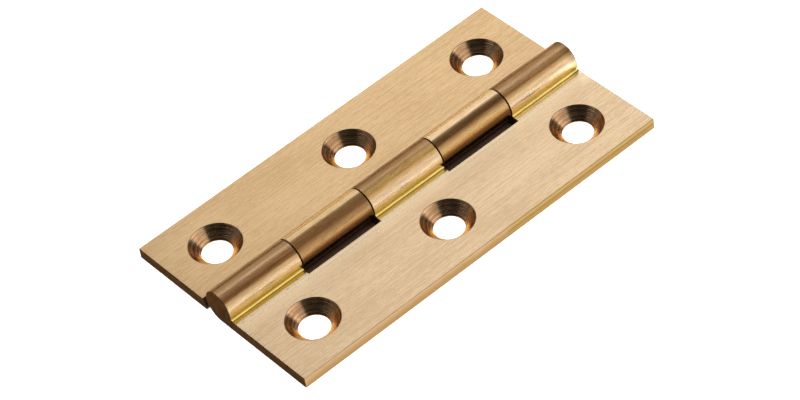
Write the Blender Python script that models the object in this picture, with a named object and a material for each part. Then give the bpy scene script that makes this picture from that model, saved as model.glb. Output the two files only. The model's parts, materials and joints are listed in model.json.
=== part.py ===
"""Solid drawn brass butt hinge, modelled open flat with its leaves side by side.

X runs along the pin, Y across the leaves and Z up, away from the faces that lie on the door
and the frame. The origin is under the middle of the barrel, level with those faces. The frame
leaf, on the -Y side, has three knuckles and holds the pin; the door leaf, on the +Y side, has
two knuckles and swings. The barrel's underside is level with the back of the leaves.
"""

import math

import bmesh
import bpy

MM = 0.001

# Driving dimensions, in millimetres.
HINGE_LENGTH = 76.2
OPEN_WIDTH = 42.2
LEAF_THICKNESS = 2.1
BARREL_DIAMETER = 6.2
KNUCKLE_COUNT = 5
KNUCKLE_GAP = 0.3            # running gap along the pin between two knuckles
ROOT_FILLET = 0.4            # inside radius where a knuckle meets its leaf
RELIEF_RADIUS = 4.5          # a leaf's edge is hollowed to this radius round the other's knuckles
RELIEF_LAND = 0.6            # height of the plain edge left below that hollow
PIN_DIAMETER = 3.0
PIN_CLEARANCE = 0.04         # radial, between the pin and its bore
PIN_TIP_LENGTH = 3.0         # brass tip that closes the bore at each end
PIN_TIP_GAP = 0.3            # between a tip and the end of the steel pin
PIN_CHAMFER = 0.3
SCREW_HOLE_DIAMETER = 5.3
COUNTERSINK_DIAMETER = 9.2   # 90 degrees included, so as deep as the radius grows
SCREW_HOLES_PER_LEAF = 3
SCREW_HOLE_PITCH = 28.9
SCREW_LINE = 12.35           # from the pin's axis to a row of screw holes

# Sizes that follow from them.
BARREL_RADIUS = BARREL_DIAMETER / 2
LEAF_EDGE = OPEN_WIDTH / 2
END = HINGE_LENGTH / 2
KNUCKLE_PITCH = HINGE_LENGTH / KNUCKLE_COUNT
BORE_RADIUS = PIN_DIAMETER / 2 + PIN_CLEARANCE
COUNTERSINK_DEPTH = (COUNTERSINK_DIAMETER - SCREW_HOLE_DIAMETER) / 2

CUT_MARGIN = 1.0             # how far a cutter reaches past the metal
BARREL_STEPS = 72            # flats on a full circle of the barrel and its relief
BORE_STEPS = 48
HOLE_STEPS = 64
FILLET_STEPS = 6
SMOOTH_ANGLE = math.radians(20)

SATIN_BRASS = (0.60, 0.39, 0.19)
TIP_BRASS = (0.42, 0.27, 0.13)
PIN_STEEL = (0.50, 0.50, 0.51)


def remove_everything():
    """Empty the scene and drop the meshes and materials that nothing uses any more."""
    for scene_object in list(bpy.data.objects):
        bpy.data.objects.remove(scene_object, do_unlink=True)
    for mesh in list(bpy.data.meshes):
        bpy.data.meshes.remove(mesh)
    for material in list(bpy.data.materials):
        bpy.data.materials.remove(material)


def metal(name, colour, roughness):
    """A metallic material of one colour."""
    material = bpy.data.materials.new(name)
    material.use_nodes = True
    shader = material.node_tree.nodes["Principled BSDF"]
    shader.inputs["Base Color"].default_value = (*colour, 1.0)
    shader.inputs["Metallic"].default_value = 1.0
    shader.inputs["Roughness"].default_value = roughness
    return material


def arc(centre_y, centre_z, radius, start, end, steps):
    """Points in the Y-Z plane along an arc, both ends included; angles in radians."""
    points = []
    for step in range(steps + 1):
        angle = start + (end - start) * step / steps
        points.append((centre_y + radius * math.cos(angle), centre_z + radius * math.sin(angle)))
    return points


def add_prism(mesh, section, x_start, x_end):
    """Extrude a closed Y-Z outline, counterclockwise seen from +X, along X."""
    near = [mesh.verts.new((x_start * MM, y * MM, z * MM)) for y, z in section]
    far = [mesh.verts.new((x_end * MM, y * MM, z * MM)) for y, z in section]
    mesh.faces.new(reversed(near))
    mesh.faces.new(far)
    count = len(section)
    for index in range(count):
        following = (index + 1) % count
        mesh.faces.new((near[index], near[following], far[following], far[index]))


def add_turned(mesh, profile, steps, axis_point, axis):
    """Turn a profile of (radius, distance along the axis) pairs, low to high, into a solid."""
    rings = []
    for radius, distance in profile:
        ring = []
        for step in range(steps):
            angle = 2 * math.pi * step / steps
            across, up = radius * math.cos(angle), radius * math.sin(angle)
            offset = (distance, across, up) if axis == "X" else (across, up, distance)
            point = [(base + shift) * MM for base, shift in zip(axis_point, offset)]
            ring.append(mesh.verts.new(point))
        rings.append(ring)
    mesh.faces.new(reversed(rings[0]))
    mesh.faces.new(rings[-1])
    for lower, upper in zip(rings, rings[1:]):
        for step in range(steps):
            following = (step + 1) % steps
            mesh.faces.new((lower[step], lower[following], upper[following], upper[step]))


def new_object(name, mesh, material=None):
    """Make an object from a bmesh, flat faces flat and round faces smooth."""
    data = bpy.data.meshes.new(name)
    mesh.to_mesh(data)
    mesh.free()
    data.shade_smooth()
    data.set_sharp_from_angle(angle=SMOOTH_ANGLE)
    if material:
        data.materials.append(material)
    made = bpy.data.objects.new(name, data)
    bpy.context.scene.collection.objects.link(made)
    return made


def cut(target, cutter_mesh, name):
    """Subtract a cutter from the target and leave the cutter as a hidden wire guide."""
    cutter = new_object(f"{target.name}_{name}", cutter_mesh)
    cutter.hide_render = True
    cutter.display_type = "WIRE"
    modifier = target.modifiers.new(name, "BOOLEAN")
    modifier.operation = "DIFFERENCE"
    modifier.solver = "EXACT"
    modifier.object = cutter


def leaf_section():
    """The drawn section of the door leaf: a flat plate that ends in a full round knuckle.

    The knuckle's circle touches the plane of the plate's back, so the outline leaves the back
    at the bottom of the circle, runs round the free side and the top, and comes down through
    the root fillet on to the plate's front face.
    """
    fillet_z = LEAF_THICKNESS + ROOT_FILLET
    fillet_reach = BARREL_RADIUS + ROOT_FILLET
    fillet_y = math.sqrt(fillet_reach ** 2 - (fillet_z - BARREL_RADIUS) ** 2)
    root_angle = math.atan2(fillet_z - BARREL_RADIUS, fillet_y)
    knuckle = arc(0, BARREL_RADIUS, BARREL_RADIUS, root_angle, 1.5 * math.pi, BARREL_STEPS)
    fillet = arc(fillet_y, fillet_z, ROOT_FILLET, -0.5 * math.pi,
                 root_angle - math.pi, FILLET_STEPS)
    plate = [(LEAF_EDGE, 0), (LEAF_EDGE, LEAF_THICKNESS)]
    return plate + fillet + knuckle[1:]


def mirrored(section):
    """The same outline on the other side of the pin, with its direction kept."""
    return [(-y, z) for y, z in reversed(section)]


def relief_section():
    """What is cleared round the other leaf's knuckle: a circle with straight sides below."""
    land_rise = RELIEF_LAND - BARREL_RADIUS
    start = math.asin(land_rise / RELIEF_RADIUS)
    hollow = arc(0, BARREL_RADIUS, RELIEF_RADIUS, start, math.pi - start, BARREL_STEPS)
    half_width = hollow[0][0]
    return [(-half_width, -CUT_MARGIN), (half_width, -CUT_MARGIN)] + hollow


def relief_span(number):
    """The stretch cleared for a knuckle: its own span, the gaps beside it, or past the end."""
    start = -END + number * KNUCKLE_PITCH - KNUCKLE_GAP / 2
    end = start + KNUCKLE_PITCH + KNUCKLE_GAP
    if number == 0:
        start -= CUT_MARGIN
    if number == KNUCKLE_COUNT - 1:
        end += CUT_MARGIN
    return start, end


def screw_hole_cutter(side):
    """The countersunk holes of one leaf; side is +1 for the door leaf, -1 for the frame leaf."""
    hole_radius = SCREW_HOLE_DIAMETER / 2
    top_z = LEAF_THICKNESS + CUT_MARGIN
    top_radius = COUNTERSINK_DIAMETER / 2 + CUT_MARGIN
    profile = [
        (hole_radius, -CUT_MARGIN),
        (hole_radius, LEAF_THICKNESS - COUNTERSINK_DEPTH),
        (top_radius, top_z),
    ]
    mesh = bmesh.new()
    for number in range(SCREW_HOLES_PER_LEAF):
        x = (number - (SCREW_HOLES_PER_LEAF - 1) / 2) * SCREW_HOLE_PITCH
        add_turned(mesh, profile, HOLE_STEPS, (x, side * SCREW_LINE, 0), "Z")
    return mesh


def make_leaf(name, side, section, other_knuckles, material):
    """One leaf: the drawn section, cleared for the other leaf, bored for the pin and drilled."""
    mesh = bmesh.new()
    add_prism(mesh, section, -END, END)
    leaf = new_object(name, mesh, material)

    relief = bmesh.new()
    for number in other_knuckles:
        add_prism(relief, relief_section(), *relief_span(number))
    cut(leaf, relief, "knuckle_relief")

    bore = bmesh.new()
    bore_profile = [(BORE_RADIUS, -END - CUT_MARGIN), (BORE_RADIUS, END + CUT_MARGIN)]
    add_turned(bore, bore_profile, BORE_STEPS, (0, 0, BARREL_RADIUS), "X")
    cut(leaf, bore, "pin_bore")

    cut(leaf, screw_hole_cutter(side), "screw_holes")
    return leaf


def make_pin(material):
    """The steel pin, a plain rod with chamfered ends that stops short of the brass tips."""
    reach = END - PIN_TIP_LENGTH - PIN_TIP_GAP
    radius = PIN_DIAMETER / 2
    profile = [
        (radius - PIN_CHAMFER, -reach),
        (radius, -reach + PIN_CHAMFER),
        (radius, reach - PIN_CHAMFER),
        (radius - PIN_CHAMFER, reach),
    ]
    mesh = bmesh.new()
    add_turned(mesh, profile, BORE_STEPS, (0, 0, BARREL_RADIUS), "X")
    return new_object("hinge_pin", mesh, material)


def make_pin_tip(name, side, material):
    """A brass tip, flush with the barrel's end and chamfered on its inner end."""
    radius = PIN_DIAMETER / 2
    inner = END - PIN_TIP_LENGTH
    outline = [(radius - PIN_CHAMFER, inner), (radius, inner + PIN_CHAMFER), (radius, END)]
    if side < 0:
        outline = [(size, -distance) for size, distance in reversed(outline)]
    mesh = bmesh.new()
    add_turned(mesh, outline, BORE_STEPS, (0, 0, BARREL_RADIUS), "X")
    return new_object(name, mesh, material)


def place_on_joint(moving):
    """Give a moving piece its origin on the pin's axis, without moving its surface."""
    for vertex in moving.data.vertices:
        vertex.co.z -= BARREL_RADIUS * MM
    moving.location.z = BARREL_RADIUS * MM


def main():
    remove_everything()
    frame_knuckles = range(0, KNUCKLE_COUNT, 2)
    door_knuckles = range(1, KNUCKLE_COUNT, 2)
    door_section = leaf_section()
    make_leaf("frame_leaf", -1, mirrored(door_section), door_knuckles,
              metal("frame_leaf_brass", SATIN_BRASS, 0.35))
    door_leaf = make_leaf("door_leaf", 1, door_section, frame_knuckles,
                          metal("door_leaf_brass", SATIN_BRASS, 0.35))
    place_on_joint(door_leaf)
    make_pin(metal("pin_steel", PIN_STEEL, 0.3))
    make_pin_tip("pin_tip_front", -1, metal("front_tip_brass", TIP_BRASS, 0.45))
    make_pin_tip("pin_tip_rear", 1, metal("rear_tip_brass", TIP_BRASS, 0.45))


main()
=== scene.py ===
"""Looks for the solid drawn brass butt hinge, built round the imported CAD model.

The two leaves are made again as fine meshes with rounded edges and turned countersinks, and stand
for the CAD leaves. The steel pin and its two brass tips stay as the CAD has them and get better
materials. X runs along the pin, Y across the leaves and Z up. Lengths are in millimetres until
a mesh is written, and in metres for lights and the camera.
"""

import json
import math

import bmesh
import bpy
from mathutils import Matrix, Vector


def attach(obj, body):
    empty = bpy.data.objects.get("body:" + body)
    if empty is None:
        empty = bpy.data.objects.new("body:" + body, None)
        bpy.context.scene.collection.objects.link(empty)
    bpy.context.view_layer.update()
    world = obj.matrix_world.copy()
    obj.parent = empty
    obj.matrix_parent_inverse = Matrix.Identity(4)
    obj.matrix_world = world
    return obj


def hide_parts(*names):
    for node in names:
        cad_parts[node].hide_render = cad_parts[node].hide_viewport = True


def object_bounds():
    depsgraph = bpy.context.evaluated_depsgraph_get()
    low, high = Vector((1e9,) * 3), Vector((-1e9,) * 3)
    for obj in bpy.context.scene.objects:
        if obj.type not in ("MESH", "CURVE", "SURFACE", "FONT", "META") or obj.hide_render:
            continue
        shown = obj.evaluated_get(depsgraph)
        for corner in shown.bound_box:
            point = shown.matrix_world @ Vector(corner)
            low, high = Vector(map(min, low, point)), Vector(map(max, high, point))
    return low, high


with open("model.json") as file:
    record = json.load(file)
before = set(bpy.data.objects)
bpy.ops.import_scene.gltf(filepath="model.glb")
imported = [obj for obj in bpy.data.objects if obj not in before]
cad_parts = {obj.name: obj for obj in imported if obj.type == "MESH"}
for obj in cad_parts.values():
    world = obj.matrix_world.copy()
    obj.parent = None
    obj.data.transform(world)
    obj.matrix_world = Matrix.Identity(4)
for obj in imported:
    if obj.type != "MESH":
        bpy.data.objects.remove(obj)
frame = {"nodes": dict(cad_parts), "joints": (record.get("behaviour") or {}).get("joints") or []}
CAD_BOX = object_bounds()

MM = 0.001

# Sizes read from the frame, in millimetres.
HINGE_LENGTH = (CAD_BOX[1].x - CAD_BOX[0].x) / MM
OPEN_WIDTH = (CAD_BOX[1].y - CAD_BOX[0].y) / MM
BARREL_RADIUS = frame["joints"][0]["pos_m"][2] / MM

# The rest of the design's sizes, in millimetres.
LEAF_THICKNESS = 2.1
KNUCKLE_COUNT = 5
KNUCKLE_GAP = 0.16           # the CAD solids keep 0.3 here; the real joint is tighter
ROOT_FILLET = 0.4
RELIEF_RADIUS = 4.5
RELIEF_LAND = 0.6
BORE_RADIUS = 1.54
SCREW_HOLE_RADIUS = 2.65
COUNTERSINK_RADIUS = 4.6
SCREW_HOLES_PER_LEAF = 3
SCREW_HOLE_PITCH = 28.9
SCREW_LINE = 12.35

# Surface detail that only the looks have, in millimetres.
EDGE_ROUND = 0.12            # width taken off every outer edge
EDGE_ROUND_STEPS = 3
TOOL_GROOVE_PITCH = 0.27     # concentric marks that the countersinking tool leaves
TOOL_GROOVE_DEPTH = 0.012
RIM_ROUND = 0.12             # softened rim where a countersink meets the leaf's face

# Sizes that follow from them.
LEAF_EDGE = OPEN_WIDTH / 2
END = HINGE_LENGTH / 2
KNUCKLE_PITCH = HINGE_LENGTH / KNUCKLE_COUNT

# How the meshes are made.
CUT_MARGIN = 1.0             # how far a cutter reaches past the metal
BARREL_STEPS = 144           # flats on the knuckle's arc and on the hollow round it
BORE_STEPS = 64
HOLE_STEPS = 120
FILLET_STEPS = 8
CORNER_ANGLE = math.radians(30)   # edges sharper than this are rounded
SMOOTH_ANGLE = math.radians(40)   # and what is still sharper than this is shaded as a corner
KNUCKLE_REACH = 3.55         # the leaf's side of the pin belongs to the knuckle up to here

# Material slots of a leaf's mesh. CUT is the sawn ends and the hollows, painted dark as shade, GAP the
# end faces of knuckles and hollows inside the hinge, and EDGE the long outer edge.
FACE, KNUCKLE, CUT, COUNTERSINK, EDGE, BACK, GAP = range(7)


def colour(red, green, blue):
    """A linear colour in the form that shader sockets take."""
    return (red, green, blue, 1.0)


# Tones of the metal. Each pair is the darker and the lighter end of what a surface varies between.
FRONT_DEEP = colour(0.735, 0.515, 0.30)
FRONT_LIGHT = colour(0.95, 0.715, 0.455)
REAR_DEEP = colour(0.68, 0.445, 0.22)
REAR_LIGHT = colour(0.88, 0.615, 0.34)
BACK_DEEP = colour(0.5, 0.32, 0.15)
BACK_LIGHT = REAR_DEEP
CONE_DEEP = colour(0.46, 0.23, 0.105)
CONE_LIGHT = colour(1.0, 0.63, 0.34)
# Painted shade: the sawn ends, the hollows and the pin's tips are near-black for the dark they reflect
# and hold.
CUT_SHADE_DARK = colour(0.025, 0.016, 0.013)
CUT_SHADE_LIGHT = colour(0.057, 0.036, 0.027)
GAP_DARK = colour(0.22, 0.135, 0.085)
GAP_LIGHT = colour(0.45, 0.29, 0.18)
EDGE_LOW = colour(0.318, 0.186, 0.066)
EDGE_HIGH = colour(0.364, 0.232, 0.116)
STEEL_DARK = colour(0.30, 0.30, 0.31)
STEEL_LIGHT = colour(0.55, 0.55, 0.56)

# Tones that come in only in places.
ROOT_PAINTED_HIGHLIGHT = colour(1.0, 0.80, 0.54)          # painted highlight on the front leaf towards its root
ROOT_STRIP_AND_REFLECTION = colour(0.70, 0.50, 0.135)       # narrow unbrushed strip along a leaf's root, its deep yellow a painted reflection
ROOT_SPECK = colour(0.20, 0.11, 0.05)         # dark marks by the root near the -X end
FILLET_FOOT_SHADE = colour(0.56, 0.355, 0.055)      # painted shade in the thin crease where a knuckle's fillet meets its leaf
EDGE_WORN = colour(0.341, 0.209, 0.050)
EDGE_WORN_MIDDLE = colour(0.225, 0.124, 0.023)
EDGE_WORN_CORNER = colour(0.279, 0.194, 0.039)

# How each surface tints the reflections that graze it.
KNUCKLE_GRAZING = colour(0.92, 0.78, 0.62)
CONE_GRAZING = colour(0.7, 0.45, 0.25)
CUT_GRAZING = colour(0.55, 0.45, 0.36)

# Places and sizes within the materials, in millimetres unless they say otherwise.
ROOT_RISE = 0.14             # how much the polished leaf thickens towards its root
ROOT_STRIP_TAPER = 10.0      # how much wider the yellow strip gets towards -X, in mm per metre
SPECKS_FROM, SPECKS_TO = -26.0, -18.0     # X over which the marks by the root fade out
FOOT_FROM, FOOT_TO = 3.18, 3.26           # reach over which the line at the fillet's foot comes in
END_SHADE = 2.0              # length over which painted shade darkens the barrel towards its +X end
CONE_RING_WIDTH = 0.13
CUT_ROUGHNESS = 0.45
FRONT_ROOT_HIGHLIGHT_AND_POLISH = 0.8       # share of the painted highlight in the front leaf's tone at its root, and of its polish there
EDGE_MIDDLE = 1.15           # height of the worn line along a long edge
CORNER_FROM, CORNER_TO = 1.80, 1.92       # height over which the wear of its top corner comes in
BAND_LOW, BAND_HIGH = -30.0, 330.0        # degrees that the knuckle bands run over

# Painted highlight and shade on a countersink's wall: how bright it is by the angle round its axis, 0
# towards +X, 90 towards +Y.
CONE_PAINTED_SHADING = (
    (-180.0, 0.38),
    (-150.0, 0.60),
    (-80.0, 0.85),
    (-55.0, 1.00),
    (-18.0, 1.00),
    (0.0, 0.52),
    (15.0, 0.29),
    (38.0, 0.36),
    (62.0, 0.46),
    (73.0, 0.62),
    (84.0, 0.76),
    (105.0, 0.82),
    (122.0, 0.98),
    (155.0, 0.96),
    (180.0, 0.38),
)

# Tones of the knuckles at some angles round the pin, in degrees: 0 is level on the side of the knuckle's
# own leaf, 90 is the top and 180 is level on the other side. They hold the real brushed and tarnished
# zones, and over them painted highlights and shade of the reflections round the barrel. Each leaf's
# knuckle nearest the -X end follows the FIRST table, its next one the OTHER, and a third one mixes the
# two.
FIRST_FRONT_SHADING_BANDS = (
    (-15.8, colour(1.00, 0.79, 0.29)),
    (-12.5, colour(1.00, 0.81, 0.32)),
    (-9.5, colour(0.94, 0.73, 0.27)),
    (-4.0, colour(0.71, 0.51, 0.125)),
    (7.0, colour(0.72, 0.54, 0.20)),
    (14.0, colour(1.00, 0.78, 0.42)),
    (30.0, colour(0.78, 0.54, 0.31)),
    (42.0, colour(0.58, 0.35, 0.16)),
    (49.0, colour(0.24, 0.115, 0.04)),
    (56.0, colour(0.25, 0.105, 0.037)),
    (64.0, colour(0.50, 0.24, 0.093)),
    (72.0, colour(0.65, 0.35, 0.165)),
    (79.0, colour(0.80, 0.50, 0.27)),
    (86.0, colour(0.46, 0.28, 0.15)),
    (96.0, colour(0.34, 0.20, 0.09)),
    (110.0, colour(0.24, 0.11, 0.037)),
    (120.0, colour(0.33, 0.19, 0.085)),
    (185.0, colour(0.40, 0.25, 0.12)),
    (225.0, colour(0.60, 0.40, 0.21)),
)
OTHER_FRONT_SHADING_BANDS = (
    (-15.8, colour(0.94, 0.74, 0.27)),
    (-12.5, colour(1.00, 0.82, 0.34)),
    (-9.5, colour(1.00, 0.82, 0.34)),
    (-4.0, colour(0.68, 0.49, 0.12)),
    (7.0, colour(0.70, 0.52, 0.19)),
    (14.0, colour(0.98, 0.80, 0.52)),
    (28.0, colour(0.82, 0.585, 0.36)),
    (42.0, colour(0.79, 0.53, 0.29)),
    (48.0, colour(0.69, 0.43, 0.20)),
    (60.0, colour(0.79, 0.45, 0.136)),
    (66.0, colour(0.94, 0.55, 0.17)),
    (72.0, colour(1.00, 0.62, 0.215)),
    (78.0, colour(0.43, 0.25, 0.108)),
    (86.0, colour(0.47, 0.28, 0.135)),
    (96.0, colour(0.31, 0.17, 0.075)),
    (112.0, colour(0.28, 0.125, 0.037)),
    (125.0, colour(0.25, 0.14, 0.060)),
    (185.0, colour(0.40, 0.25, 0.12)),
    (225.0, colour(0.60, 0.40, 0.21)),
)
FIRST_REAR_SHADING_BANDS = (
    (0.0, colour(0.64, 0.44, 0.22)),
    (36.0, colour(0.50, 0.33, 0.14)),
    (44.0, colour(0.38, 0.235, 0.09)),
    (53.0, colour(0.62, 0.39, 0.155)),
    (68.0, colour(0.84, 0.54, 0.21)),
    (84.0, colour(0.70, 0.48, 0.26)),
    (91.0, colour(0.72, 0.50, 0.27)),
    (97.0, colour(0.29, 0.165, 0.06)),
    (108.0, colour(0.46, 0.24, 0.09)),
    (126.0, colour(0.255, 0.118, 0.041)),
    (138.0, colour(0.37, 0.195, 0.08)),
    (151.0, colour(0.53, 0.31, 0.125)),
    (162.0, colour(0.34, 0.165, 0.055)),
    (170.0, colour(0.12, 0.056, 0.024)),
    (190.0, colour(0.20, 0.12, 0.08)),
    (225.0, colour(0.60, 0.40, 0.21)),
)
OTHER_REAR_SHADING_BANDS = (
    (0.0, colour(0.64, 0.44, 0.22)),
    (36.0, colour(0.50, 0.33, 0.14)),
    (44.0, colour(0.40, 0.25, 0.10)),
    (53.0, colour(0.64, 0.42, 0.176)),
    (68.0, colour(0.90, 0.585, 0.26)),
    (84.0, colour(0.81, 0.575, 0.345)),
    (93.0, colour(0.86, 0.65, 0.42)),
    (99.0, colour(0.40, 0.24, 0.10)),
    (112.0, colour(0.22, 0.11, 0.039)),
    (121.0, colour(0.24, 0.11, 0.042)),
    (138.0, colour(0.56, 0.33, 0.13)),
    (145.0, colour(0.69, 0.44, 0.19)),
    (156.0, colour(0.43, 0.215, 0.06)),
    (170.0, colour(0.13, 0.060, 0.024)),
    (190.0, colour(0.20, 0.115, 0.07)),
    (225.0, colour(0.60, 0.40, 0.21)),
)

# The camera: degrees, metres, and the lens in millimetres. The roll is about the view's axis.
CAMERA_AZIMUTH = math.radians(-33.902)
CAMERA_ELEVATION = math.radians(44.821)
CAMERA_ROLL = math.radians(-10.707)
CAMERA_DISTANCE = 0.52523
CAMERA_LENS = 144.13
SENSOR_WIDTH = 36.0
AIM_RIGHT, AIM_UP = -0.00013, 0.00129   # where the view's middle falls, seen from the origin

# Softboxes: name, tilt round the pin and lean to +X in degrees, distance, width and height in
# metres, and radiance, where 1 renders as white.
SOFTBOXES = (
    ("window", 15, 28, 1.0, 1.06, 0.73, 0.90),
    ("window_top", 48, 30, 1.0, 1.06, 0.42, 0.88),
    ("overhead", 80, 25, 1.0, 0.9, 0.6, 0.34),
    ("back_softbox", 137, 37, 1.2, 1.0, 1.3, 1.04),
    ("back_left", 114, -30, 1.2, 0.4, 0.4, 2.3),
    ("rear_left", 152, -42, 1.2, 0.8, 0.4, 0.22),
    ("front_left", 5, -42, 1.2, 0.8, 0.22, 0.4),
)
PAPER_LIGHT_DISTANCE = 1.5
PAPER_LIGHT_WIDTH = 2.4
PAPER_LIGHT_RADIANCE = 3.4
WORLD_GREY = colour(0.07, 0.07, 0.07)

# The floor, in millimetres except where it says.
FLOOR_HALF = 3.0             # metres
FLOOR_DROP = 0.00002         # metres that it lies below the metal
SHADOW_FRONT, SHADOW_REAR = -4.0, 0.5    # Y reach of the barrel's contact shadow
SHADOW_FILL_GLOW = 0.45            # painted glow by the hinge that washes out its contact shadow; white paper is 1
GLOW_FULL, GLOW_NONE = 5.0, 12.0         # distance from the hinge over which the glow fades
FLOOR_WHITE = colour(0.88, 0.88, 0.88)
FLOOR_SHADOW = colour(0.085, 0.049, 0.032)


# ---------------------------------------------------------------- mesh tools

def arc(centre_y, centre_z, radius, start, end, steps):
    """Points in the Y-Z plane along an arc, both ends included; angles in radians."""
    points = []
    for step in range(steps + 1):
        angle = start + (end - start) * step / steps
        points.append((centre_y + radius * math.cos(angle), centre_z + radius * math.sin(angle)))
    return points


def add_prism(mesh, section, x_start, x_end):
    """Extrude a closed Y-Z outline, counterclockwise seen from +X, along X."""
    near = [mesh.verts.new((x_start * MM, y * MM, z * MM)) for y, z in section]
    far = [mesh.verts.new((x_end * MM, y * MM, z * MM)) for y, z in section]
    mesh.faces.new(reversed(near))
    mesh.faces.new(far)
    count = len(section)
    for index in range(count):
        following = (index + 1) % count
        mesh.faces.new((near[index], near[following], far[following], far[index]))


def add_turned(mesh, profile, steps, axis_point, axis):
    """Turn a profile of (radius, distance along the axis) pairs, low to high, into a solid."""
    rings = []
    for radius, distance in profile:
        ring = []
        for step in range(steps):
            angle = 2 * math.pi * step / steps
            across, up = radius * math.cos(angle), radius * math.sin(angle)
            offset = (distance, across, up) if axis == "X" else (across, up, distance)
            point = [(base + shift) * MM for base, shift in zip(axis_point, offset)]
            ring.append(mesh.verts.new(point))
        rings.append(ring)
    mesh.faces.new(reversed(rings[0]))
    mesh.faces.new(rings[-1])
    for lower, upper in zip(rings, rings[1:]):
        for step in range(steps):
            following = (step + 1) % steps
            mesh.faces.new((lower[step], lower[following], upper[following], upper[step]))


def mesh_object(name, mesh):
    """Put a bmesh into a new object in the scene."""
    data = bpy.data.meshes.new(name)
    mesh.to_mesh(data)
    mesh.free()
    made = bpy.data.objects.new(name, data)
    bpy.context.scene.collection.objects.link(made)
    return made


def subtract(target, cutters):
    """Cut each mesh out of the target and return the result as a new bmesh."""
    tools = [mesh_object(f"cutter_{index}", cutter) for index, cutter in enumerate(cutters)]
    for tool in tools:
        modifier = target.modifiers.new(tool.name, "BOOLEAN")
        modifier.operation = "DIFFERENCE"
        modifier.solver = "EXACT"
        modifier.object = tool
    evaluated = target.evaluated_get(bpy.context.evaluated_depsgraph_get())
    result = bmesh.new()
    result.from_mesh(evaluated.data)
    for leftover in [target] + tools:
        bpy.data.objects.remove(leftover, do_unlink=True)
    return result


# ---------------------------------------------------------------- the leaves

def leaf_section():
    """The drawn section of the +Y leaf: a flat plate that ends in a full round knuckle."""
    fillet_z = LEAF_THICKNESS + ROOT_FILLET
    fillet_reach = BARREL_RADIUS + ROOT_FILLET
    fillet_y = math.sqrt(fillet_reach ** 2 - (fillet_z - BARREL_RADIUS) ** 2)
    root_angle = math.atan2(fillet_z - BARREL_RADIUS, fillet_y)
    knuckle = arc(0, BARREL_RADIUS, BARREL_RADIUS, root_angle, 1.5 * math.pi, BARREL_STEPS)
    fillet = arc(fillet_y, fillet_z, ROOT_FILLET, -0.5 * math.pi,
                 root_angle - math.pi, FILLET_STEPS)
    plate = [(LEAF_EDGE, 0), (LEAF_EDGE, LEAF_THICKNESS)]
    return plate + fillet + knuckle[1:]


def relief_section():
    """What is cleared round the other leaf's knuckle: a circle with straight sides below."""
    start = math.asin((RELIEF_LAND - BARREL_RADIUS) / RELIEF_RADIUS)
    hollow = arc(0, BARREL_RADIUS, RELIEF_RADIUS, start, math.pi - start, BARREL_STEPS)
    half_width = hollow[0][0]
    return [(-half_width, -CUT_MARGIN), (half_width, -CUT_MARGIN)] + hollow


def relief_span(number):
    """The stretch cleared for a knuckle: its own span, the gaps beside it, or past the end."""
    start = -END + number * KNUCKLE_PITCH - KNUCKLE_GAP / 2
    end = start + KNUCKLE_PITCH + KNUCKLE_GAP
    if number == 0:
        start -= CUT_MARGIN
    if number == KNUCKLE_COUNT - 1:
        end += CUT_MARGIN
    return start, end


def hole_places(side):
    """Centres of one leaf's screw holes, as X and Y."""
    middle = (SCREW_HOLES_PER_LEAF - 1) / 2
    return [((number - middle) * SCREW_HOLE_PITCH, side * SCREW_LINE)
            for number in range(SCREW_HOLES_PER_LEAF)]


def countersink_profile():
    """Straight hole, a 90 degree cone with fine tool grooves, and a softened rim."""
    depth = COUNTERSINK_RADIUS - SCREW_HOLE_RADIUS
    slant = (depth - RIM_ROUND) * math.sqrt(2)
    rings = round(slant / TOOL_GROOVE_PITCH * 4)
    profile = [(SCREW_HOLE_RADIUS, -CUT_MARGIN)]
    for ring in range(rings + 1):
        along = slant * ring / rings
        turn = 2 * math.pi * along / TOOL_GROOVE_PITCH
        wave = TOOL_GROOVE_DEPTH * math.sin(turn) * (0.65 + 0.35 * math.sin(turn * 0.37 + 1.0))
        radius = SCREW_HOLE_RADIUS + (along + wave) / math.sqrt(2)
        height = LEAF_THICKNESS - depth + (along - wave) / math.sqrt(2)
        profile.append((radius, height))
    for share in (0.35, 0.7, 1.0):
        profile.append((COUNTERSINK_RADIUS - RIM_ROUND + share * RIM_ROUND * 1.6,
                        LEAF_THICKNESS - RIM_ROUND + math.sin(share * math.pi / 2) * RIM_ROUND * 1.02))
    last_radius, last_height = profile[-1]
    profile.append((last_radius + CUT_MARGIN * 4, last_height + CUT_MARGIN))
    return profile


def near_hole(point, side):
    """How far a point, in metres, lies from the nearest screw hole's axis, in millimetres."""
    return min(math.hypot(point.x / MM - x, point.y / MM - y) for x, y in hole_places(side))


def round_edges(mesh, side):
    """Take a small round off the outer corners, but leave the bore and the screw holes."""
    sharp = []
    for edge in mesh.edges:
        if len(edge.link_faces) != 2 or edge.calc_face_angle() < CORNER_ANGLE:
            continue
        middle = (edge.verts[0].co + edge.verts[1].co) / 2
        to_pin = math.hypot(middle.y / MM, middle.z / MM - BARREL_RADIUS)
        if to_pin < BORE_RADIUS + 0.3 or near_hole(middle, side) < COUNTERSINK_RADIUS + 0.4:
            continue
        sharp.append(edge)
    bmesh.ops.bevel(mesh, geom=sharp, offset=EDGE_ROUND * MM, offset_type="OFFSET",
                    segments=EDGE_ROUND_STEPS, profile=0.5, affect="EDGES",
                    clamp_overlap=False, loop_slide=True)


def surface_of(face, side):
    """Which finish a face of a leaf has, from where it lies and where it points."""
    centre = face.calc_center_median() / MM
    normal = face.normal
    reach = centre.y * side
    if near_hole(centre * MM, side) < COUNTERSINK_RADIUS + 0.2 and abs(normal.z) < 0.98:
        return COUNTERSINK
    if abs(normal.x) > 0.6:
        return CUT if abs(centre.x) > END - 0.5 else GAP
    if normal.z < -0.9:
        return BACK
    if reach < KNUCKLE_REACH:
        return KNUCKLE
    if reach < RELIEF_RADIUS + 0.1 and normal.y * side < -0.3:
        return CUT
    if normal.y * side > 0.5 and reach > LEAF_EDGE - 0.5:
        return EDGE
    return FACE


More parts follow.
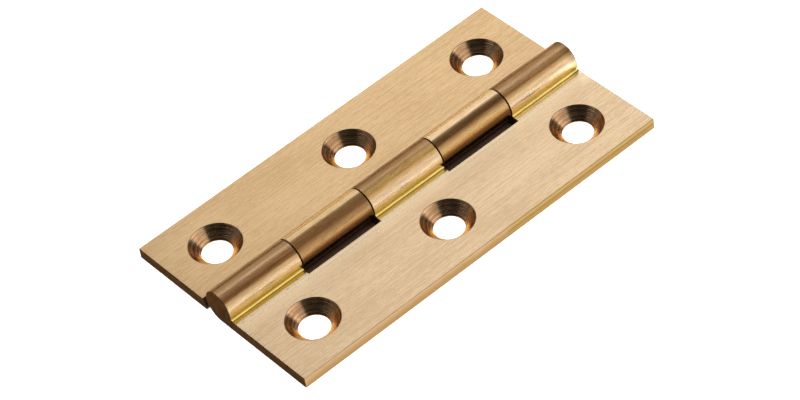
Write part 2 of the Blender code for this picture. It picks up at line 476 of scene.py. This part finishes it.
def make_leaf(name, side, other_knuckles, materials):
    """One leaf as a single closed mesh; side is +1 for the door leaf, -1 for the frame leaf."""
    section = leaf_section()
    if side < 0:
        section = [(-y, z) for y, z in reversed(section)]
    blank = bmesh.new()
    add_prism(blank, section, -END, END)

    relief = bmesh.new()
    for number in other_knuckles:
        add_prism(relief, relief_section(), *relief_span(number))
    bore = bmesh.new()
    bore_profile = [(BORE_RADIUS, -END - CUT_MARGIN), (BORE_RADIUS, END + CUT_MARGIN)]
    add_turned(bore, bore_profile, BORE_STEPS, (0, 0, BARREL_RADIUS), "X")
    holes = bmesh.new()
    for x, y in hole_places(side):
        add_turned(holes, countersink_profile(), HOLE_STEPS, (x, y, 0), "Z")

    mesh = subtract(mesh_object(name, blank), [relief, bore, holes])
    bmesh.ops.remove_doubles(mesh, verts=mesh.verts, dist=1e-7)
    round_edges(mesh, side)
    mesh.normal_update()
    for face in mesh.faces:
        face.material_index = surface_of(face, side)
    leaf = mesh_object(name, mesh)
    for material in materials:
        leaf.data.materials.append(material)
    leaf.data.shade_smooth()
    leaf.data.set_sharp_from_angle(angle=SMOOTH_ANGLE)
    weighted = leaf.modifiers.new("even_normals", "WEIGHTED_NORMAL")
    weighted.keep_sharp = True
    weighted.weight = 100
    return leaf


# ---------------------------------------------------------------- materials

class Nodes:
    """Short calls for building one material's node tree."""

    def __init__(self, name):
        """Start a material and keep its shader and the places on the piece that wears it."""
        self.material = bpy.data.materials.new(name)
        self.material.use_nodes = True
        self.tree = self.material.node_tree
        self.shader = self.tree.nodes["Principled BSDF"]
        self.place = self.tree.nodes.new("ShaderNodeTexCoord").outputs["Object"]

    def link(self, value, socket):
        """Put a number, colour or another node's output on a socket."""
        if isinstance(value, bpy.types.NodeSocket):
            self.tree.links.new(value, socket)
        else:
            socket.default_value = value

    def math(self, operation, *values):
        """One sum on numbers or outputs."""
        node = self.tree.nodes.new("ShaderNodeMath")
        node.operation = operation
        for value, socket in zip(values, node.inputs):
            self.link(value, socket)
        return node.outputs[0]

    def ramp(self, value, low, high, stops):
        """Colour that follows a value through stops of (value, colour)."""
        node = self.tree.nodes.new("ShaderNodeValToRGB")
        marks = node.color_ramp.elements
        while len(marks) < len(stops):
            marks.new(0.5)
        for mark, (place, tone) in zip(marks, stops):
            mark.position = (place - low) / (high - low)
            mark.color = tone
        node.color_ramp.interpolation = "LINEAR"
        share = self.math("DIVIDE", self.math("SUBTRACT", value, low), high - low)
        self.link(share, node.inputs[0])
        return node.outputs[0]

    def scale_colour(self, tone, factor):
        """Make a colour lighter or darker."""
        node = self.tree.nodes.new("ShaderNodeVectorMath")
        node.operation = "SCALE"
        self.link(tone, node.inputs[0])
        self.link(factor, node.inputs["Scale"])
        return node.outputs[0]

    def multiply(self, first, second):
        """Multiply two colours."""
        node = self.tree.nodes.new("ShaderNodeVectorMath")
        node.operation = "MULTIPLY"
        self.link(first, node.inputs[0])
        self.link(second, node.inputs[1])
        return node.outputs[0]

    def remap(self, value, low, high, to_low, to_high):
        """Smoothly map a value's range on to another."""
        node = self.tree.nodes.new("ShaderNodeMapRange")
        node.interpolation_type = "SMOOTHSTEP"
        self.link(value, node.inputs["Value"])
        self.link(low, node.inputs["From Min"])
        self.link(high, node.inputs["From Max"])
        self.link(to_low, node.inputs["To Min"])
        self.link(to_high, node.inputs["To Max"])
        return node.outputs[0]

    def mix(self, share, first, second):
        """Mix two colours."""
        node = self.tree.nodes.new("ShaderNodeMix")
        node.data_type = "RGBA"
        self.link(share, node.inputs[0])
        self.link(first, node.inputs[6])
        self.link(second, node.inputs[7])
        return node.outputs[2]

    def noise(self, stretch, detail=2.0, seed=0.0, place=None):
        """Noise whose grains are stretch long along each axis, in millimetres."""
        mapping = self.tree.nodes.new("ShaderNodeMapping")
        self.link(place or self.place, mapping.inputs["Vector"])
        mapping.inputs["Scale"].default_value = [1 / (size * MM) for size in stretch]
        mapping.inputs["Location"].default_value = (seed, seed * 1.7, seed * 2.3)
        node = self.tree.nodes.new("ShaderNodeTexNoise")
        node.inputs["Scale"].default_value = 1.0
        node.inputs["Detail"].default_value = detail
        self.link(mapping.outputs[0], node.inputs["Vector"])
        return node.outputs["Fac"]

    def axes(self):
        """X, Y and Z of a point on the piece, in metres."""
        node = self.tree.nodes.new("ShaderNodeSeparateXYZ")
        self.link(self.place, node.inputs[0])
        return node.outputs[0], node.outputs[1], node.outputs[2]

    def vector(self, x, y, z):
        """Three values as one vector."""
        node = self.tree.nodes.new("ShaderNodeCombineXYZ")
        for value, socket in zip((x, y, z), node.inputs):
            self.link(value, socket)
        return node.outputs[0]

    def bump(self, height, depth):
        """Relief on top of any there is; depth is the height of a full step, in millimetres."""
        node = self.tree.nodes.new("ShaderNodeBump")
        node.inputs["Strength"].default_value = 1.0
        node.inputs["Distance"].default_value = depth * MM
        self.link(height, node.inputs["Height"])
        normal = self.shader.inputs["Normal"]
        if normal.is_linked:
            self.link(normal.links[0].from_socket, node.inputs["Normal"])
        self.link(node.outputs[0], normal)

    def tangent(self, vector):
        """Give the direction on the surface that its anisotropy is measured from."""
        turn = self.tree.nodes.new("ShaderNodeVectorTransform")
        turn.vector_type = "VECTOR"
        turn.convert_from = "OBJECT"
        turn.convert_to = "WORLD"
        self.link(vector, turn.inputs[0])
        self.link(turn.outputs[0], self.shader.inputs["Tangent"])

    def finish(self, tone, roughness):
        """Make the shader a metal of this tone and roughness and return the material."""
        self.link(tone, self.shader.inputs["Base Color"])
        self.link(roughness, self.shader.inputs["Roughness"])
        self.shader.inputs["Metallic"].default_value = 1.0
        return self.material


def mixed_lines(nodes, width, seed, grain_share=0.20):
    """Long scratches along X, short broken ones and a little grain, as one value from 0 to 1."""
    long_lines = nodes.noise((18.0, width * 1.6, width * 1.6), 2.0, seed=seed)
    short_lines = nodes.noise((1.8, width, width), 2.0, seed=seed + 4.1)
    grain = nodes.noise((0.4, 0.25, 0.25), 2.0, seed=seed + 7.7)
    rest = 1.0 - grain_share
    scratches = nodes.math("ADD", nodes.math("MULTIPLY", long_lines, rest * 0.45),
                           nodes.math("MULTIPLY", short_lines, rest * 0.55))
    return nodes.math("ADD", scratches, nodes.math("MULTIPLY", grain, grain_share))


def spread_across_x(nodes, amount):
    """Scratches along X spread reflections across them, round the barrel and across the leaf."""
    nodes.tangent(nodes.vector(1.0, 0.0, 0.0))
    nodes.shader.inputs["Anisotropic Rotation"].default_value = 0.25
    nodes.shader.inputs["Anisotropic"].default_value = amount


def brushed_face(name, side, light, deep, root_highlight_and_polish=0.0):
    """Leaf face brushed along X with fine, broken lines, and yellow along the root.

    A root share above 0 also polishes the face, paints a highlight on it and thickens it a little towards
    its root.
    """
    nodes = Nodes(name)
    lines = mixed_lines(nodes, 0.18, 0.0)
    cloud = nodes.noise((14.0, 6.0, 6.0), 2.0, seed=8.3)
    shade = nodes.math("ADD", nodes.math("MULTIPLY", lines, 0.85), nodes.math("MULTIPLY", cloud, 0.15))
    tone = nodes.mix(nodes.remap(shade, 0.42, 0.58, 0.0, 1.0), deep, light)
    x, y, z = nodes.axes()
    reach = nodes.math("MULTIPLY", y, side / MM)
    # Towards its root the leaf is polished and a highlight is painted into its tone.
    highlight_and_polish_share = nodes.remap(reach, 4.0, 8.0, root_highlight_and_polish, 0.0)
    tone = nodes.mix(highlight_and_polish_share, tone, ROOT_PAINTED_HIGHLIGHT)

    # The yellow strip along the root, on the leaf's top face only, with a wandering edge: unbrushed metal
    # whose deep yellow is a painted reflection between knuckle and leaf.
    wander = nodes.noise((6.0, 50.0, 50.0), 2.0, seed=3.3)
    edge = nodes.math("ADD", reach, nodes.math("MULTIPLY", wander, 0.7))
    edge = nodes.math("ADD", edge, nodes.math("MULTIPLY", x, ROOT_STRIP_TAPER))
    on_top = nodes.remap(z, 0.5 * MM, 1.5 * MM, 0.0, 1.0)
    at_root = nodes.math("MULTIPLY", nodes.remap(edge, 3.8, 4.2, 1.0, 0.0), on_top)
    tone = nodes.mix(at_root, tone, ROOT_STRIP_AND_REFLECTION)

    # The dark marks beside it.
    specks = nodes.noise((1.1, 0.16, 0.16), 1.0, seed=5.5)
    marked = nodes.math("MULTIPLY", nodes.remap(reach, 4.6, 5.4, 1.0, 0.0),
                        nodes.remap(x, SPECKS_FROM * MM, SPECKS_TO * MM, 1.0, 0.0))
    marked = nodes.math("MULTIPLY", marked, nodes.remap(specks, 0.70, 0.74, 0.0, 1.0))
    marked = nodes.math("MULTIPLY", marked, on_top)
    tone = nodes.mix(marked, tone, ROOT_SPECK)

    spread_across_x(nodes, 0.7)
    if root_highlight_and_polish:
        nodes.bump(nodes.remap(reach, 3.8, 5.2, 1.0, 0.0), ROOT_RISE)
    nodes.bump(lines, 0.003)
    rough = nodes.remap(lines, 0.35, 0.65, 0.30, 0.38)
    return nodes.finish(tone, nodes.math("SUBTRACT", rough, nodes.math("MULTIPLY", highlight_and_polish_share, 0.12)))


def turned_countersink(name, side):
    """Cone cut by a turning tool: fine rings round each hole's axis, with painted shade and highlight on
    some sides.
    """
    nodes = Nodes(name)
    x, y, _ = nodes.axes()
    pitch = SCREW_HOLE_PITCH * MM
    near_x = nodes.math("WRAP", x, pitch / 2, -pitch / 2)
    near_y = nodes.math("SUBTRACT", y, side * SCREW_LINE * MM)
    from_axis = nodes.math("SQRT", nodes.math("ADD", nodes.math("MULTIPLY", near_x, near_x),
                                              nodes.math("MULTIPLY", near_y, near_y)))
    ring_place = nodes.vector(from_axis, nodes.math("MULTIPLY", near_x, 0.1),
                              nodes.math("MULTIPLY", near_y, 0.1))
    rings = nodes.noise((CONE_RING_WIDTH, 1.0, 1.0), 3.0, place=ring_place)
    patches = nodes.noise((1.5, 1.5, 1.5), 2.0, seed=2.2)
    blend = nodes.math("ADD", nodes.math("MULTIPLY", rings, 0.7), nodes.math("MULTIPLY", patches, 0.3))
    tone = nodes.mix(nodes.remap(blend, 0.37, 0.63, 0.0, 1.0), CONE_DEEP, CONE_LIGHT)
    # Painted highlight and shade by the side of the hole, round its axis.
    round_axis = nodes.math("MULTIPLY", nodes.math("ARCTAN2", near_y, near_x), 180 / math.pi)
    stops = [(place, colour(gain, gain, gain)) for place, gain in CONE_PAINTED_SHADING]
    tone = nodes.multiply(tone, nodes.ramp(round_axis, -180.0, 180.0, stops))
    nodes.tangent(nodes.vector(near_x, near_y, from_axis))
    nodes.shader.inputs["Anisotropic"].default_value = 0.7
    nodes.shader.inputs["Specular Tint"].default_value = CONE_GRAZING
    nodes.bump(rings, 0.012)
    return nodes.finish(tone, nodes.remap(rings, 0.3, 0.7, 0.20, 0.30))


def drawn_knuckle(name, side, first_shading_bands, other_shading_bands):
    """Knuckle drawn with long lines along X, with painted highlights and shade in bands at set angles
    round the pin.
    """
    nodes = Nodes(name)
    x, y, z = nodes.axes()
    lines = mixed_lines(nodes, 0.15, 1.0, 0.08)
    height = nodes.math("SUBTRACT", z, BARREL_RADIUS * MM)
    angle = nodes.math("ARCTAN2", height, nodes.math("MULTIPLY", y, side))
    degrees = nodes.math("WRAP", nodes.math("MULTIPLY", angle, 180 / math.pi), BAND_HIGH, BAND_LOW)

    # The bands wander along the pin, but little by the root and round the far side.
    wander = nodes.noise((9.0, 60.0, 60.0), 3.0, seed=6.6)
    streaks = nodes.noise((30.0, 0.3, 0.3), 2.0, seed=2.9)
    shift = nodes.math("ADD", nodes.math("MULTIPLY", wander, 8.0), nodes.math("MULTIPLY", streaks, 6.0))
    steady = nodes.math("MULTIPLY", nodes.remap(degrees, -2.0, 14.0, 0.12, 1.0),
                        nodes.remap(degrees, 148.0, 166.0, 1.0, 0.3))
    shift = nodes.math("MULTIPLY", nodes.math("SUBTRACT", shift, 7.0), steady)
    shifted = nodes.math("ADD", degrees, shift)

    # A leaf's third knuckle follows mostly the OTHER table below 50 degrees, mostly the FIRST
    # table from 64 to 72, and half of each from 80 on.
    past_first = (-END + (1.5 if side < 0 else 2.5) * KNUCKLE_PITCH) * MM
    beyond_first = nodes.math("GREATER_THAN", x, past_first)
    at_last = nodes.math("GREATER_THAN", x, past_first + 2 * KNUCKLE_PITCH * MM)
    as_first = nodes.math("ADD", 0.5, nodes.math("MULTIPLY", nodes.remap(degrees, 50.0, 64.0, -0.25, 0.4),
                                                 nodes.remap(degrees, 72.0, 80.0, 1.0, 0.0)))
    share = nodes.math("SUBTRACT", beyond_first, nodes.math("MULTIPLY", at_last, as_first))
    # Painted highlights and shade round the pin, over the real brushed and tarnished zones.
    tone = nodes.mix(share, nodes.ramp(shifted, BAND_LOW, BAND_HIGH, first_shading_bands),
                     nodes.ramp(shifted, BAND_LOW, BAND_HIGH, other_shading_bands))

    reach = nodes.math("MULTIPLY", y, side / MM)
    # Painted shade in the crease at the fillet's foot.
    tone = nodes.mix(nodes.remap(reach, FOOT_FROM, FOOT_TO, 0.0, 1.0), tone, FILLET_FOOT_SHADE)
    patina = nodes.noise((2.2, 0.4, 0.4), 4.0, seed=3.8)
    blend = nodes.math("ADD", nodes.math("MULTIPLY", lines, 0.7), nodes.math("MULTIPLY", patina, 0.3))
    tone = nodes.scale_colour(tone, nodes.remap(blend, 0.36, 0.64, 0.82, 1.16))
    # Painted shade: the barrel darkens towards its +X end.
    tone = nodes.scale_colour(tone, nodes.remap(x, (END - END_SHADE) * MM, (END - 0.3) * MM, 1.0, 0.65))
    spread_across_x(nodes, 0.55)
    nodes.shader.inputs["Specular Tint"].default_value = KNUCKLE_GRAZING
    nodes.bump(lines, 0.002)
    return nodes.finish(tone, nodes.remap(lines, 0.3, 0.7, 0.22, 0.30))


def cut_metal(name, dark, light):
    """Sawn or milled surface in the dark tones it is given, with short cross marks."""
    nodes = Nodes(name)
    marks = nodes.noise((0.12, 0.5, 0.9), 4.0, seed=3.0)
    stains = nodes.noise((1.2, 1.2, 1.2), 3.0, seed=6.0)
    blend = nodes.math("ADD", nodes.math("MULTIPLY", marks, 0.5), nodes.math("MULTIPLY", stains, 0.5))
    tone = nodes.mix(nodes.remap(blend, 0.35, 0.65, 0.0, 1.0), dark, light)
    nodes.shader.inputs["Specular Tint"].default_value = CUT_GRAZING
    nodes.bump(marks, 0.008)
    return nodes.finish(tone, nodes.remap(blend, 0.3, 0.7, CUT_ROUGHNESS - 0.06, CUT_ROUGHNESS + 0.08))


def drawn_edge(name):
    """Long edge of a leaf as drawn: gold, worn olive along its middle and top corner towards +X."""
    nodes = Nodes(name)
    x, _, z = nodes.axes()
    lines = mixed_lines(nodes, 0.25, 9.0)
    patches = nodes.noise((7.0, 2.0, 0.9), 3.0, seed=4.7)
    # Painted shade: the edge darkens towards its foot, where it reflects the floor by the hinge.
    height = nodes.remap(z, 0.6 * MM, LEAF_THICKNESS * MM, 0.0, 1.0)
    blend = nodes.math("ADD", nodes.math("MULTIPLY", patches, 0.6), nodes.math("MULTIPLY", height, 0.5))
    tone = nodes.mix(nodes.remap(blend, 0.3, 0.8, 0.0, 1.0), EDGE_LOW, EDGE_HIGH)
    wear = nodes.noise((5.0, 9.0, 9.0), 3.0, seed=1.9)
    worn = nodes.remap(nodes.math("ADD", nodes.math("DIVIDE", x, 60.0 * MM), wear), 0.25, 0.75, 0.0, 1.0)
    from_middle = nodes.math("ABSOLUTE", nodes.math("SUBTRACT", z, EDGE_MIDDLE * MM))
    middle = nodes.math("MULTIPLY", nodes.remap(from_middle, 0.1 * MM, 0.5 * MM, 0.75, 0.0), worn)
    tone = nodes.mix(nodes.math("MULTIPLY", worn, 0.6), tone, EDGE_WORN)
    tone = nodes.mix(middle, tone, EDGE_WORN_MIDDLE)
    corner = nodes.math("MULTIPLY", nodes.remap(z, CORNER_FROM * MM, CORNER_TO * MM, 0.0, 0.8), worn)
    tone = nodes.mix(corner, tone, EDGE_WORN_CORNER)
    spread_across_x(nodes, 0.5)
    nodes.bump(lines, 0.006)
    return nodes.finish(tone, nodes.remap(lines, 0.35, 0.65, 0.26, 0.38))


def turned_steel(name):
    """Ground steel of the pin, with fine rings round its axis."""
    nodes = Nodes(name)
    rings = nodes.noise((0.1, 3.0, 3.0), 3.0, seed=7.0)
    tone = nodes.mix(rings, STEEL_DARK, STEEL_LIGHT)
    nodes.bump(rings, 0.003)
    return nodes.finish(tone, nodes.remap(rings, 0.3, 0.7, 0.22, 0.34))


def leaf_materials(prefix, side, light, deep, root_highlight_and_polish, first_shading_bands, other_shading_bands):
    """One material for each finish, in the order of the slot numbers above."""
    return [
        brushed_face(f"{prefix}_face", side, light, deep, root_highlight_and_polish),
        drawn_knuckle(f"{prefix}_knuckle", side, first_shading_bands, other_shading_bands),
        # The sawn ends and hollows take painted shade.
        cut_metal(f"{prefix}_cut", CUT_SHADE_DARK, CUT_SHADE_LIGHT),
        turned_countersink(f"{prefix}_countersink", side),
        drawn_edge(f"{prefix}_edge"),
        brushed_face(f"{prefix}_back", side, BACK_LIGHT, BACK_DEEP),
        cut_metal(f"{prefix}_gap", GAP_DARK, GAP_LIGHT),
    ]


# ---------------------------------------------------------------- the camera, floor and lights

def add_camera():
    """The camera looks down on the hinge from the front left, rolled a little."""
    azimuth, elevation = CAMERA_AZIMUTH, CAMERA_ELEVATION
    back = Vector((math.sin(azimuth) * math.cos(elevation),
                   -math.cos(azimuth) * math.cos(elevation), math.sin(elevation)))
    level_right = Vector((0, 0, 1)).cross(back).normalized()
    level_up = back.cross(level_right)
    right = math.cos(CAMERA_ROLL) * level_right + math.sin(CAMERA_ROLL) * level_up
    up = -math.sin(CAMERA_ROLL) * level_right + math.cos(CAMERA_ROLL) * level_up
    data = bpy.data.cameras.new("camera")
    data.lens = CAMERA_LENS
    data.sensor_width = SENSOR_WIDTH
    data.clip_start = 0.01
    data.clip_end = 20.0
    camera = bpy.data.objects.new("camera", data)
    camera.matrix_world = Matrix((right, up, back)).transposed().to_4x4()
    camera.location = back * CAMERA_DISTANCE - right * AIM_RIGHT - up * AIM_UP
    bpy.context.scene.collection.objects.link(camera)
    bpy.context.scene.camera = camera


def add_floor():
    """A white sheet with a painted glow by the hinge, and the deep contact shadow in front of the barrel
    laid on it.
    """
    mesh = bmesh.new()
    corners = [mesh.verts.new((x * FLOOR_HALF, y * FLOOR_HALF, -FLOOR_DROP))
               for x, y in ((-1, -1), (1, -1), (1, 1), (-1, 1))]
    mesh.faces.new(corners)
    floor = mesh_object("floor", mesh)
    nodes = Nodes("floor_paper")
    x, y, _ = nodes.axes()
    half_width = (SHADOW_REAR - SHADOW_FRONT) / 2
    from_middle = nodes.math("ABSOLUTE", nodes.math("SUBTRACT", y, (SHADOW_FRONT + SHADOW_REAR) / 2 * MM))
    beside = nodes.remap(from_middle, half_width * MM, (half_width + 0.15) * MM, 0.0, 1.0)
    beyond = nodes.remap(nodes.math("ABSOLUTE", x), (END - 0.8) * MM, END * MM, 0.0, 1.0)
    open_floor = nodes.math("MAXIMUM", beside, beyond)   # 0 in the shadow and 1 clear of it
    tone = nodes.mix(open_floor, FLOOR_SHADOW, FLOOR_WHITE)
    nodes.link(tone, nodes.shader.inputs["Base Color"])
    nodes.shader.inputs["Roughness"].default_value = 1.0
    nodes.shader.inputs["Specular IOR Level"].default_value = 0.0
    nodes.shader.inputs["Emission Color"].default_value = colour(1.0, 1.0, 1.0)
    # Painted light: the sheet glows by the hinge, washing out the contact shadow there.
    past_ends = nodes.math("SUBTRACT", nodes.math("ABSOLUTE", x), END * MM)
    past_edges = nodes.math("SUBTRACT", nodes.math("ABSOLUTE", y), LEAF_EDGE * MM)
    nearby = nodes.remap(nodes.math("MAXIMUM", past_ends, past_edges),
                         GLOW_FULL * MM, GLOW_NONE * MM, SHADOW_FILL_GLOW, 0.0)
    nodes.link(nodes.math("MULTIPLY", open_floor, nearby), nodes.shader.inputs["Emission Strength"])
    floor.data.materials.append(nodes.material)


def add_softbox(name, direction, distance, width, height, radiance):
    """A rectangular light facing the hinge; sizes in metres, radiance 1 renders as white."""
    data = bpy.data.lights.new(name, "AREA")
    data.shape = "RECTANGLE"
    data.size = width
    data.size_y = height
    data.energy = radiance * math.pi * width * height
    light = bpy.data.objects.new(name, data)
    towards = Vector(direction).normalized()
    across = Vector((1, 0, 0))
    up = towards.cross(across).normalized()
    across = up.cross(towards)
    light.matrix_world = Matrix((across, up, towards)).transposed().to_4x4()
    light.location = towards * distance
    bpy.context.scene.collection.objects.link(light)
    return light


def around_pin(tilt, lean):
    """A direction by its tilt round the pin, 0 to the front and 90 straight up, and its lean to +X."""
    tilt, lean = math.radians(tilt), math.radians(lean)
    return (math.sin(lean), -math.cos(tilt) * math.cos(lean), math.sin(tilt) * math.cos(lean))


def add_lights():
    """Softboxes round the hinge, a light that only the floor takes, and a dim grey world."""
    for name, tilt, lean, distance, width, height, radiance in SOFTBOXES:
        add_softbox(name, around_pin(tilt, lean), distance, width, height, radiance)
    paper_light = add_softbox("paper_light", (0, 0, 1), PAPER_LIGHT_DISTANCE,
                              PAPER_LIGHT_WIDTH, PAPER_LIGHT_WIDTH, PAPER_LIGHT_RADIANCE)
    paper_light.visible_glossy = False
    world = bpy.data.worlds.new("studio")
    world.use_nodes = True
    world.node_tree.nodes["Background"].inputs["Color"].default_value = WORLD_GREY
    bpy.context.scene.world = world
    bpy.context.scene.view_settings.view_transform = "Standard"


def main():
    """Set the stage, put the detailed leaves in the CAD leaves' place, and finish the pin and tips."""
    add_camera()
    add_floor()
    add_lights()
    frame_knuckles = range(0, KNUCKLE_COUNT, 2)
    door_knuckles = range(1, KNUCKLE_COUNT, 2)
    front = leaf_materials("front", -1, FRONT_LIGHT, FRONT_DEEP, FRONT_ROOT_HIGHLIGHT_AND_POLISH,
                           FIRST_FRONT_SHADING_BANDS, OTHER_FRONT_SHADING_BANDS)
    rear = leaf_materials("rear", 1, REAR_LIGHT, REAR_DEEP, 0.0,
                          FIRST_REAR_SHADING_BANDS, OTHER_REAR_SHADING_BANDS)
    for name, side, others, materials, node, body in (
            ("frame_leaf_brass", -1, door_knuckles, front, "frame_leaf", "frame_side"),
            ("door_leaf_brass", 1, frame_knuckles, rear, "door_leaf", "door_side")):
        leaf = make_leaf(name, side, others, materials)
        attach(leaf, body)
        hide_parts(node)
    steel = turned_steel("pin_steel")
    # The pin's tips take the same painted shade as the sawn ends.
    tip = cut_metal("tip_brass", CUT_SHADE_DARK, CUT_SHADE_LIGHT)
    for node, material in (("hinge_pin", steel), ("pin_tip_front", tip), ("pin_tip_rear", tip)):
        frame["nodes"][node].data.materials.clear()
        frame["nodes"][node].data.materials.append(material)


main()
